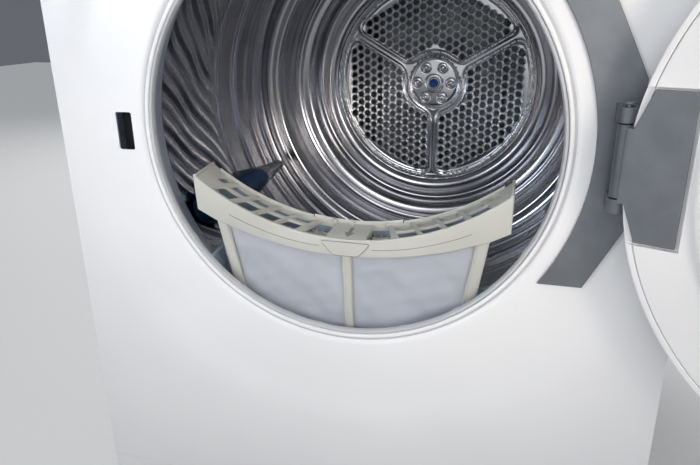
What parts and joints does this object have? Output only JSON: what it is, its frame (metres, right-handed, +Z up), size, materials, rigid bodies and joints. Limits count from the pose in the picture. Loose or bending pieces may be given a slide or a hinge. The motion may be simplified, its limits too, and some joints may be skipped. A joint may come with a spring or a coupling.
{
  "type": "clothes dryer",
  "caption": "Front-loading heat-pump clothes dryer: steel drum with lifters, round door on a side hinge, lift-out lint filter, water tank drawer, belt drive and heat pump.",
  "frame": {"origin": "centre of the base's flat underside, which the levelling feet hold 12 mm above the floor", "axes": "+X to the dryer's right as seen from its front, +Y to the back, +Z up"},
  "size_m": [0.982, 0.8772, 0.85],
  "materials": {
    "white_enamel": "smooth white enamel on pressed steel",
    "white_plastic": "satin white moulding",
    "grey_plastic": "pale warm grey moulding",
    "collar_plastic": "light grey moulding that mirrors the drum",
    "drum_steel": "bright rolled stainless steel",
    "galvanised": "galvanised sheet",
    "black_plastic": "black moulding",
    "lifter_plastic": "dark slate blue moulding",
    "blue_plastic": "blue moulded cap",
    "tinted_glass": "dark tinted glass",
    "display_glass": "black display window",
    "mesh_cloth": "fine woven filter mesh",
    "rubber": "black rubber",
    "felt": "wool felt",
    "copper": "drawn copper tube",
    "cast_metal": "die-cast metal",
    "chromed_knob": "bright plated knob"
  },
  "bodies": {
    "cabinet": {"left_side_panel": "white_enamel", "right_side_panel": "white_enamel", "front_panel": "white_enamel", "top_cover": "white_plastic", "lower_grille": "white_plastic", "control_panel": "white_plastic", "opening_lip": "grey_plastic", "rear_air_duct": "grey_plastic", "fan_housing": "grey_plastic", "front_bulkhead": "collar_plastic", "filter_slot": "collar_plastic", "moisture_sensor": "drum_steel", "rear_panel": "galvanised", "idler_arm": "galvanised", "base_pan": "black_plastic", "cord_gland": "black_plastic", "condensate_pump": "black_plastic", "door_lock": "black_plastic", "compressor": "black_plastic", "display_window": "display_glass", "front_left_foot": "rubber", "front_right_foot": "rubber", "rear_left_foot": "rubber", "rear_right_foot": "rubber", "drum_belt": "rubber", "condensate_hose": "rubber", "front_felt_seal": "felt", "refrigerant_pipe": "copper", "bearing_housing": "cast_metal", "drive_motor": "cast_metal", "evaporator": "cast_metal", "condenser_coil": "cast_metal", "hinge_bracket": "cast_metal", "hinge_pin": "cast_metal"},
    "drum": {"drum_shell": "drum_steel", "drum_back": "drum_steel", "perforated_plate": "drum_steel", "drum_hub": "drum_steel", "hub_cap": "blue_plastic", "drum_shaft": "cast_metal", "lifter_1": "lifter_plastic", "lifter_2": "lifter_plastic", "lifter_3": "lifter_plastic"},
    "motor_shaft": {"motor_pulley": "cast_metal", "blower_wheel": "black_plastic"},
    "idler": {"idler_pulley": "grey_plastic"},
    "left_wheel": {"left_roller": "rubber"},
    "right_wheel": {"right_roller": "rubber"},
    "lint_filter": {"filter_frame": "grey_plastic", "filter_mesh_front": "mesh_cloth", "filter_mesh_rear": "mesh_cloth"},
    "tank": {"water_tank": "white_plastic"},
    "knob": {"selector_knob": "chromed_knob"},
    "button": {"start_button": "chromed_knob"},
    "door": {"door_ring": "white_plastic", "door_glass": "tinted_glass", "door_liner": "white_plastic", "door_bowl": "tinted_glass", "door_hinge_arm": "cast_metal", "door_hook": "grey_plastic"}
  },
  "joints": [
    {"name": "door_hinge", "type": "hinge", "parent": "cabinet", "child": "door", "pos_m": [0.238, -0.35, 0.501], "axis": [0, 0, 1], "range_deg": [-160, 0]},
    {"name": "filter_slide", "type": "slide", "parent": "cabinet", "child": "lint_filter", "axis": [0, -0.0872, 0.9962], "range_m": [-0.1, 0.08]},
    {"name": "drum_spin", "type": "hinge", "parent": "cabinet", "child": "drum", "pos_m": [0, 0, 0.49], "axis": [0, 1, 0], "continuous": true},
    {"name": "motor_spin", "type": "hinge", "parent": "cabinet", "child": "motor_shaft", "pos_m": [0.178, 0, 0.112], "axis": [0, 1, 0], "continuous": true},
    {"name": "idler_spin", "type": "hinge", "parent": "cabinet", "child": "idler", "pos_m": [0.236, -0.025, 0.168], "axis": [0, 1, 0], "continuous": true},
    {"name": "left_roller_spin", "type": "hinge", "parent": "cabinet", "child": "left_wheel", "pos_m": [-0.1828, -0.1876, 0.2384], "axis": [0, 1, 0], "continuous": true},
    {"name": "right_roller_spin", "type": "hinge", "parent": "cabinet", "child": "right_wheel", "pos_m": [0.1828, -0.1876, 0.2384], "axis": [0, 1, 0], "continuous": true},
    {"name": "tank_slide", "type": "slide", "parent": "cabinet", "child": "tank", "axis": [0, -1, 0], "range_m": [0, 0.4]},
    {"name": "knob_turn", "type": "hinge", "parent": "cabinet", "child": "knob", "pos_m": [0.012, -0.345, 0.7746], "axis": [0, -1, 0], "continuous": true},
    {"name": "button_press", "type": "slide", "parent": "cabinet", "child": "button", "axis": [0, 1, 0], "range_m": [0, 0.002], "stiffness_N_per_m": 800, "springref_m": -0.001}
  ],
  "couplings": [
    {"joint": "motor_spin", "follows": "drum_spin", "ratio": 18.475},
    {"joint": "idler_spin", "follows": "drum_spin", "ratio": -14.411},
    {"joint": "left_roller_spin", "follows": "drum_spin", "ratio": -11.917},
    {"joint": "right_roller_spin", "follows": "drum_spin", "ratio": -11.917}
  ]
}
